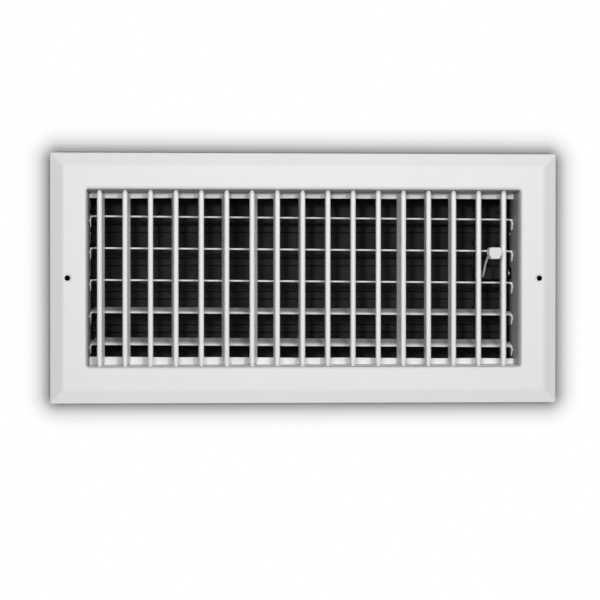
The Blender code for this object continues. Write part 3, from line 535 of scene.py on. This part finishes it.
def folded_rail(name, node, level, lip, finish):
    low, high = sorted((level * RAIL_LOW, level * RAIL_HIGH))
    made = block(name, (-RAIL_END, RAIL_FRONT, low), (RAIL_END, LIP_BACK, high))
    slice_at(made, (0, LIP_FRONT, 0), (0, 1, 0))
    pull(made, (0, 0, -level * lip),
         lambda middle, normal: normal.z * level < -FACING and middle.y > LIP_FRONT)
    soften(made, RAIL_BEND, 6, lambda a, b: min(a.y, b.y) > LIP_BACK - FINE
           and min(a.z * level, b.z * level) > RAIL_HIGH - FINE)
    soften(made, RAIL_BEND / 2, 5, lambda a, b: abs(a.y - LIP_FRONT) < FINE
           and abs(b.y - LIP_FRONT) < FINE and abs(a.z - level * RAIL_LOW) < FINE
           and abs(b.z - level * RAIL_LOW) < FINE)
    lead_in(made, LEVEL, level)
    edge = level * (RAIL_LOW - lip)
    for step in range(1, 2 * HALF_LIP_PARTS):
        slice_at(made, (-RAIL_END + RAIL_END * step / HALF_LIP_PARTS, 0, 0), (1, 0, 0))
    soften(made, 2 * FINE, 2, lambda a, b: abs(a.z - edge) < FINE and abs(b.z - edge) < FINE
           and abs(a.y - b.y) < FINE)
    wave_lip(made, level, lip)
    places = [FRONT_FIRST_X + FRONT_PITCH * number for number in range(len(FRONT_TURNS_DEG))]
    pierce(made, [rod("piercing", (place, FRONT_AXIS_Y, low - PIERCE_PAST),
                      (place, FRONT_AXIS_Y, high + PIERCE_PAST), PIN_RADIUS + PIN_PLAY, sides=24)
                  for place in places])
    polish(made, finish)
    stand_for(made, node, "frame")


def box_middle(node):
    low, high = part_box(node)
    return Vector([(a + b) / 2 for a, b in zip(low, high)])


def side_wall(name, node, side):
    low, high = sorted((side * WALL_IN, side * WALL_OUT))
    made = block(name, (low, RAIL_FRONT, -WALL_END), (high, WALL_BACK, WALL_END))
    lead_in(made, ACROSS, side)
    soften(made, 2 * FINE, 2, lambda a, b: min(a.y, b.y) > WALL_BACK - FINE and abs(a.x - b.x) < FINE)
    drop = side * WALL_IN * math.tan(math.radians(REAR_SLOPE_DEG))
    places = [(REAR_AXIS_Y, REAR_FIRST_Z - REAR_PITCH * number - drop, PIN_RADIUS)
              for number in range(len(REAR_TURNS_DEG))]
    places += [(box_middle("frame_rivet_1").y, level, SHANK_RADIUS) for level in (-RIVET_Z, RIVET_Z)]
    if side > 0:
        bracket = box_middle("bracket_rivet")
        places.append((bracket.y, bracket.z, SHANK_RADIUS))
    pierce(made, [rod("piercing", (low - PIERCE_PAST, depth, level), (high + PIERCE_PAST, depth, level),
                      radius + PIN_PLAY, sides=24) for depth, level, radius in places])
    polish(made, WALL_PAINTED_SHADE_ENAMEL)
    stand_for(made, node, "frame")


# Front bank: round-nosed vertical blades


def front_blades():
    nose = rod("blade_nose", (0, 0, -NOSE_END), (0, 0, NOSE_END), NOSE_RADIUS, sides=48)
    soften(nose, NOSE_ROUND, 5, lambda a, b: abs(a.z) > NOSE_END - FINE and abs(a.z - b.z) < FINE)
    for level in (-1, 1):
        pull(nose, (0, 0, level * (FRONT_PIN_END - NOSE_END)),
             lambda middle, normal: normal.z * level > FACING
             and abs(middle.z) > NOSE_END - FINE and math.hypot(middle.x, middle.y) < FINE)
    web = block("blade_web", (-WEB_HALF, 0, -WEB_END), (WEB_HALF, WEB_DEPTH, WEB_END))
    soften(web, TAIL_CHAMFER, 4, lambda a, b: min(a.y, b.y) > WEB_DEPTH - FINE
           and abs(a.x - b.x) > WEB_HALF)
    soften(web, 2 * FINE, 2, lambda a, b: min(a.y, b.y) > WEB_DEPTH - FINE and abs(a.x - b.x) < FINE
           and abs(a.z - b.z) > FRONT_PITCH)
    join(nose, web)
    polish(nose, FRONT_BLADE_ENAMEL)
    for number, turn in enumerate(FRONT_TURNS_DEG):
        node = "front_blade_%02d" % (number + 1)
        place = Matrix.Translation((FRONT_FIRST_X + FRONT_PITCH * number, FRONT_AXIS_Y, 0))
        made = turned_copy(nose, "vertical_blade_%02d" % (number + 1),
                           place @ Matrix.Rotation(math.radians(turn), 4, 'Z'))
        stand_for(made, node, node)
    bpy.data.objects.remove(nose, do_unlink=True)


# Rear bank: folded horizontal blades with a rolled hem and two ears


def rear_blades():
    low, high = PLATE_Z - PLATE_HALF, PLATE_Z + PLATE_HALF
    sheet = block("rear_sheet", (-REAR_END, REAR_FRONT, low), (REAR_END, EAR_BACK, high))
    for side in (-1, 1):
        slice_at(sheet, (side * (REAR_END - 2 * PLATE_HALF), 0, 0), (1, 0, 0))
    pull(sheet, (0, 0, EAR_LOW - low), lambda middle, normal: normal.z < -FACING
         and abs(middle.x) > REAR_END - 2 * PLATE_HALF)
    soften(sheet, EAR_BEND, 8, lambda a, b: min(a.z, b.z) > high - FINE
           and min(abs(a.x), abs(b.x)) > REAR_END - FINE and abs(a.y - b.y) > EAR_BEND)
    soften(sheet, EAR_BEND - 2 * PLATE_HALF, 8, lambda a, b: abs(a.z - low) < FINE
           and abs(b.z - low) < FINE and abs(a.y - b.y) > EAR_BEND
           and abs(abs(a.x) - REAR_END + 2 * PLATE_HALF) < FINE)
    soften(sheet, EAR_ROUND, 5, lambda a, b: max(a.z, b.z) < EAR_LOW + FINE
           and abs(a.x - b.x) > PLATE_HALF)
    wing_end = REAR_END - PLATE_HALF - EAR_BEND
    wing = block("rear_wing", (-wing_end, REAR_FRONT + EAR_BEND, low), (wing_end, REAR_BACK, high))
    soften(wing, WING_ROUND, 4, lambda a, b: min(a.y, b.y) > REAR_BACK - FINE
           and abs(a.z - b.z) > PLATE_HALF)
    hem = block("rear_hem", (-wing_end, REAR_FRONT, PLATE_Z - HEM_HALF),
                (wing_end, REAR_FRONT + HEM_DEPTH, PLATE_Z + HEM_HALF))
    soften(hem, HEM_HALF * HEM_NOSE_SHARE, 6, lambda a, b: max(a.y, b.y) < REAR_FRONT + FINE
           and abs(a.x - b.x) > wing_end)
    soften(hem, HEM_HALF * HEM_FOLD_SHARE, 3, lambda a, b: min(a.y, b.y) > REAR_FRONT + HEM_DEPTH - FINE
           and abs(a.x - b.x) > wing_end)
    join(sheet, wing, hem)
    for side in (-1, 1):
        join(sheet, rod("rear_pin", (side * (REAR_END - PLATE_HALF), 0, 0),
                        (side * REAR_PIN_END, 0, 0), PIN_RADIUS))
    polish(sheet, REAR_BLADE_PAINTED_SHADE_ENAMEL)
    slope = Matrix.Rotation(math.radians(REAR_SLOPE_DEG), 4, 'Y')
    for number, turn in enumerate(REAR_TURNS_DEG):
        node = "rear_blade_%d" % (number + 1)
        place = Matrix.Translation((0, REAR_AXIS_Y, REAR_FIRST_Z - REAR_PITCH * number))
        made = turned_copy(sheet, "horizontal_blade_%d" % (number + 1),
                           place @ slope @ Matrix.Rotation(math.radians(turn), 4, 'X'))
        stand_for(made, node, node)
    bpy.data.objects.remove(sheet, do_unlink=True)


# Lever tip, moulded round the end of the wire


def moulded_tip():
    bpy.ops.mesh.primitive_circle_add(vertices=len(TIP_OUTLINE_SHARES), radius=TIP_SIZE[2] / 2,
                                      fill_type='NGON', rotation=(math.pi / 2, 0, 0))
    made = settle("lever_grip")
    for vert, (across, up) in zip(made.data.vertices, TIP_OUTLINE_SHARES):
        vert.co = (TIP_LOW[0] + across * TIP_SIZE[0], TIP_LOW[1], TIP_LOW[2] + up * TIP_SIZE[2])
    edit(made, 'FACE')
    bpy.ops.mesh.select_all(action='SELECT')
    bpy.ops.mesh.extrude_region_move(TRANSFORM_OT_translate={"value": (0, TIP_SIZE[1], 0)})
    bpy.ops.mesh.select_all(action='SELECT')
    bpy.ops.mesh.normals_make_consistent(inside=False)
    leave()
    soften(made, TIP_ROUND, 4, lambda a, b: True)
    wire_low, wire_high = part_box("lever_wire")
    entry = Vector((wire_low[0] + MODEL_WIRE_RADIUS, TIP_LOW[1] + TIP_SIZE[1],
                    wire_high[2] - MODEL_WIRE_RADIUS))
    cut(made, rod("grip_bore", entry - Vector((0, TIP_BORE_DEPTH, 0)), entry + Vector((0, PIERCE_PAST, 0)),
                  TIP_BORE_RADIUS, sides=24))
    polish(made, GRIP_PLASTIC)
    stand_for(made, "lever_tip", "lever")


# Lever wire, bowed between the socket and the tip


def wire_corners():
    """Places that the wire passes, from its end in the socket to its end in the tip."""
    corners = [Vector((WIRE_X, depth, WIRE_SOCKET_Z)) for depth in (WIRE_END_Y, WIRE_BEND_Y)]
    for run, rise in WIRE_ROUTE_SHARES:
        corners.append(Vector((WIRE_X - WIRE_STEP, WIRE_BEND_Y - WIRE_RUN * run,
                               WIRE_SOCKET_Z + WIRE_RISE * rise)))
    corners.append(corners[-1] - Vector((0, TIP_BORE_DEPTH - 3 * FINE, 0)))
    return corners


def smooth_route(corners):
    """Curve through the corners, in even steps between each two."""
    ends = [corners[0]] + corners + [corners[-1]]
    route = []
    for before, start, end, after in zip(ends, ends[1:], ends[2:], ends[3:]):
        for step in range(WIRE_STEPS):
            share = step / WIRE_STEPS
            route.append(0.5 * (2 * start + (end - before) * share
                                + (2 * before - 5 * start + 4 * end - after) * share ** 2
                                + (3 * start - before - 3 * end + after) * share ** 3))
    route.append(corners[-1])
    return route


def bowed_wire():
    curve = bpy.data.curves.new("wire_line", 'CURVE')
    curve.dimensions = '3D'
    curve.bevel_depth = WIRE_RADIUS
    curve.bevel_resolution = 6
    curve.use_fill_caps = True
    line = curve.splines.new('POLY')
    route = smooth_route(wire_corners())
    line.points.add(len(route) - 1)
    for spot, point in zip(line.points, route):
        spot.co = (*point, 1)
    made = bpy.data.objects.new("lever_rod", curve)
    bpy.context.scene.collection.objects.link(made)
    take(made)
    bpy.ops.object.convert(target='MESH')
    made = bpy.context.object
    polish(made, CORE_ENAMEL)
    stand_for(made, "lever_wire", "lever")


# Rivets, each a shank between two domed heads, along X


def rivet(node):
    low, high = (Vector(corner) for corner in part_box(node))
    middle = (low + high) / 2
    made = rod(node + "_set", (low.x, middle.y, middle.z), (high.x, middle.y, middle.z),
               SHANK_RADIUS, sides=24)
    for end, inner in ((low.x, low.x + HEAD_HEIGHT), (high.x, high.x - HEAD_HEIGHT)):
        head = rod("rivet_head", (inner, middle.y, middle.z), (end, middle.y, middle.z), HEAD_RADIUS)
        soften(head, HEAD_HEIGHT * HEAD_DOME_SHARE, 4,
               lambda a, b: max(abs(a.x - end), abs(b.x - end)) < FINE)
        join(made, head)
    polish(made, ZINC_PLATE)
    stand_for(made, node, "frame")


pressed_face()
folded_rail("upper_rail", "core_top_rail", 1, UPPER_LIP, CHANNEL_PAINTED_SHADE_ENAMEL)
folded_rail("lower_rail", "core_bottom_rail", -1, LOWER_LIP, CORE_ENAMEL)
side_wall("left_wall", "core_left_plate", -1)
side_wall("right_wall", "core_right_plate", 1)
front_blades()
rear_blades()
moulded_tip()
bowed_wire()
for rivet_node in [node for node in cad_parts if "rivet" in node]:
    rivet(rivet_node)


# Lamps


def lamp(name, place, size, power, aim=(0, 0, 0)):
    light = bpy.data.lights.new(name, 'AREA')
    light.shape = 'SQUARE'
    light.size = size
    light.energy = power
    made = bpy.data.objects.new(name, light)
    made.location = place
    made.rotation_euler = (Vector(aim) - Vector(place)).to_track_quat('-Z', 'Y').to_euler()
    bpy.context.scene.collection.objects.link(made)


lamp("front", (0.22, -1.47, 0.25), size=0.11, power=6.6)
lamp("fill", (-0.30, -1.52, 0.20), size=0.14, power=5.9)
lamp("key", (0.10, -0.70, 0.62), size=0.4, power=2.9)
lamp("back", (-0.55, 1.40, 0.75), size=0.9, power=25, aim=(0, 0.04, 0))

SOFT_LIGHT = 0.07


def white_surround():
    """World that lights softly and shows white to the camera and in what is glossy."""
    world = bpy.data.worlds.new("studio")
    world.use_nodes = True
    bpy.context.scene.world = world
    tree = world.node_tree
    soft = tree.nodes["Background"]
    soft.inputs["Color"].default_value = (1, 1, 1, 1)
    soft.inputs["Strength"].default_value = SOFT_LIGHT
    white = tree.nodes.new('ShaderNodeBackground')
    white.inputs["Color"].default_value = (1, 1, 1, 1)
    rays = tree.nodes.new('ShaderNodeLightPath')
    reflected = tree.nodes.new('ShaderNodeMath')
    reflected.operation = 'MAXIMUM'
    shown = tree.nodes.new('ShaderNodeMath')
    shown.operation = 'MAXIMUM'
    mixed = tree.nodes.new('ShaderNodeMixShader')
    tree.links.new(rays.outputs["Is Glossy Ray"], reflected.inputs[0])
    tree.links.new(rays.outputs["Is Transmission Ray"], reflected.inputs[1])
    tree.links.new(rays.outputs["Is Camera Ray"], shown.inputs[0])
    tree.links.new(reflected.outputs[0], shown.inputs[1])
    tree.links.new(shown.outputs[0], mixed.inputs[0])
    tree.links.new(soft.outputs[0], mixed.inputs[1])
    tree.links.new(white.outputs[0], mixed.inputs[2])
    tree.links.new(mixed.outputs[0], tree.nodes["World Output"].inputs["Surface"])


white_surround()


# Stage: pale floor, the wall's shadow round the flange, and painted shade where the duct lies behind

HALO_REACH, HALO_CORE, HALO_COVER, HALO_DEPTH = 0.022, 0.008, 0.0265, 0.0004
HALO_STOPS = ((0.0, 1.0), (0.2, 1.0), (0.24, 0.93), (0.28, 0.79), (0.32, 0.64), (0.42, 0.47), (0.52, 0.29),
              (0.66, 0.14), (0.82, 0.045), (1.0, 0.0))
DUCT_HALF_WIDTH, DUCT_HALF_HEIGHT, DUCT_BACK = 0.1722, 0.0706, 0.0784
FLOOR_SIZE, FLOOR_LEVEL, FLOOR_BACK = 2.8, -0.62, 0.2
FLOOR_GREY, FLOOR_ROUGHNESS, FLOOR_GLOW = 0.92, 0.9, 0.25
FADE_START, FADE_END = 0.22, 0.48


def stage_plane(name, low, high, depth):
    """Upright plane that faces the room."""
    middle = ((low[0] + high[0]) / 2, depth, (low[1] + high[1]) / 2)
    bpy.ops.mesh.primitive_plane_add(size=1, location=middle, rotation=(math.pi / 2, 0, 0))
    bpy.context.object.scale = (high[0] - low[0], high[1] - low[1], 1)
    made = settle(name)
    bpy.ops.object.select_all(action='DESELECT')
    return made


def film(name, strength, shape=None):
    """Darkening film, seen from the room only; shape gives its strength by place."""
    made = bpy.data.materials.new(name)
    made.use_nodes = True
    tree = made.node_tree
    tree.nodes.remove(tree.nodes["Principled BSDF"])
    clear = tree.nodes.new('ShaderNodeBsdfTransparent')
    dark = tree.nodes.new('ShaderNodeEmission')
    dark.inputs["Strength"].default_value = 0
    side = tree.nodes.new('ShaderNodeNewGeometry')
    front = tree.nodes.new('ShaderNodeMath')
    front.operation = 'SUBTRACT'
    front.inputs[0].default_value = 1
    tree.links.new(side.outputs["Backfacing"], front.inputs[1])
    weight = tree.nodes.new('ShaderNodeMath')
    weight.operation = 'MULTIPLY'
    weight.inputs[1].default_value = strength
    tree.links.new(front.outputs[0], weight.inputs[0])
    if shape:
        tree.links.new(shape(tree), weight.inputs[1])
    seen = tree.nodes.new('ShaderNodeMath')
    seen.operation = 'MULTIPLY'
    rays = tree.nodes.new('ShaderNodeLightPath')
    tree.links.new(weight.outputs[0], seen.inputs[0])
    tree.links.new(rays.outputs["Is Camera Ray"], seen.inputs[1])
    mixed = tree.nodes.new('ShaderNodeMixShader')
    tree.links.new(seen.outputs[0], mixed.inputs[0])
    tree.links.new(clear.outputs[0], mixed.inputs[1])
    tree.links.new(dark.outputs[0], mixed.inputs[2])
    tree.links.new(mixed.outputs[0], tree.nodes["Material Output"].inputs["Surface"])
    return made


def halo_shape(tree):
    """Shadow that fades with the distance from the flange's outline."""

    def math_node(operation, first, second=None):
        node = tree.nodes.new('ShaderNodeMath')
        node.operation = operation
        for socket, value in zip(node.inputs, (first, second)):
            if value is None:
                continue
            if isinstance(value, (int, float)):
                socket.default_value = value
            else:
                tree.links.new(value, socket)
        return node.outputs[0]

    place = tree.nodes.new('ShaderNodeTexCoord')
    parts = tree.nodes.new('ShaderNodeSeparateXYZ')
    tree.links.new(place.outputs["Object"], parts.inputs[0])
    squares = []
    for axis, half in ((ACROSS, FACE_HALF_WIDTH), (LEVEL, FACE_HALF_HEIGHT)):
        past = math_node('SUBTRACT', math_node('ABSOLUTE', parts.outputs[axis]), half - HALO_CORE)
        squares.append(math_node('POWER', math_node('MAXIMUM', past, 0), 2))
    distance = math_node('SQRT', math_node('ADD', *squares))
    ramp = tree.nodes.new('ShaderNodeValToRGB')
    ramp.color_ramp.interpolation = 'LINEAR'
    while len(ramp.color_ramp.elements) < len(HALO_STOPS):
        ramp.color_ramp.elements.new(0.5)
    for stop, (position, grey) in zip(ramp.color_ramp.elements, HALO_STOPS):
        stop.position = position
        stop.color = (grey, grey, grey, 1)
    tree.links.new(math_node('DIVIDE', distance, HALO_CORE + HALO_REACH), ramp.inputs["Fac"])
    return ramp.outputs["Color"]


def halo():
    """Ring-shaped plane just behind the flange, open where the damper box passes."""
    wide = FACE_HALF_WIDTH + HALO_REACH
    tall = FACE_HALF_HEIGHT + HALO_REACH
    made = stage_plane("wall_shadow", (-wide, -tall), (wide, tall), HALO_DEPTH)
    edit(made, 'FACE')
    bpy.ops.mesh.select_all(action='SELECT')
    bpy.ops.mesh.inset(thickness=HALO_REACH + HALO_COVER, depth=0)
    bpy.ops.mesh.delete(type='FACE')
    leave()
    made.select_set(False)
    made.data.materials.append(film("wall_shadow_film", 1.0, halo_shape))


halo()
# Painted shade: a black film behind the damper for the unlit duct, which keeps white from showing through
# the slits.
duct = stage_plane("duct_painted_shade", (-DUCT_HALF_WIDTH, -DUCT_HALF_HEIGHT), (DUCT_HALF_WIDTH, DUCT_HALF_HEIGHT),
                   DUCT_BACK)
duct.data.materials.append(film("duct_shade_film", 1.0))


def pale_floor():
    """White floor that fades out before its edge."""
    bpy.ops.mesh.primitive_plane_add(size=FLOOR_SIZE, location=(0, FLOOR_BACK, FLOOR_LEVEL))
    made = settle("floor")
    bpy.ops.object.select_all(action='DESELECT')
    surface = bpy.data.materials.new("pale_floor")
    surface.use_nodes = True
    tree = surface.node_tree
    shader = tree.nodes["Principled BSDF"]
    shader.inputs["Base Color"].default_value = (FLOOR_GREY, FLOOR_GREY, FLOOR_GREY, 1)
    shader.inputs["Roughness"].default_value = FLOOR_ROUGHNESS
    shader.inputs["Emission Color"].default_value = (1, 1, 1, 1)
    shader.inputs["Emission Strength"].default_value = FLOOR_GLOW
    clear = tree.nodes.new('ShaderNodeBsdfTransparent')
    place = tree.nodes.new('ShaderNodeTexCoord')
    centred = tree.nodes.new('ShaderNodeMapping')
    centred.inputs["Location"].default_value = (0, -FLOOR_BACK, -FLOOR_LEVEL)
    reach = tree.nodes.new('ShaderNodeVectorMath')
    reach.operation = 'LENGTH'
    fade = tree.nodes.new('ShaderNodeMapRange')
    fade.interpolation_type = 'SMOOTHSTEP'
    fade.inputs["From Min"].default_value = FLOOR_SIZE * FADE_START
    fade.inputs["From Max"].default_value = FLOOR_SIZE * FADE_END
    mixed = tree.nodes.new('ShaderNodeMixShader')
    tree.links.new(place.outputs["Object"], centred.inputs["Vector"])
    tree.links.new(centred.outputs["Vector"], reach.inputs[0])
    tree.links.new(reach.outputs["Value"], fade.inputs["Value"])
    tree.links.new(fade.outputs["Result"], mixed.inputs[0])
    tree.links.new(shader.outputs[0], mixed.inputs[1])
    tree.links.new(clear.outputs[0], mixed.inputs[2])
    tree.links.new(mixed.outputs[0], tree.nodes["Material Output"].inputs["Surface"])
    made.data.materials.append(surface)


pale_floor()

bpy.context.scene.view_settings.view_transform = 'Standard'
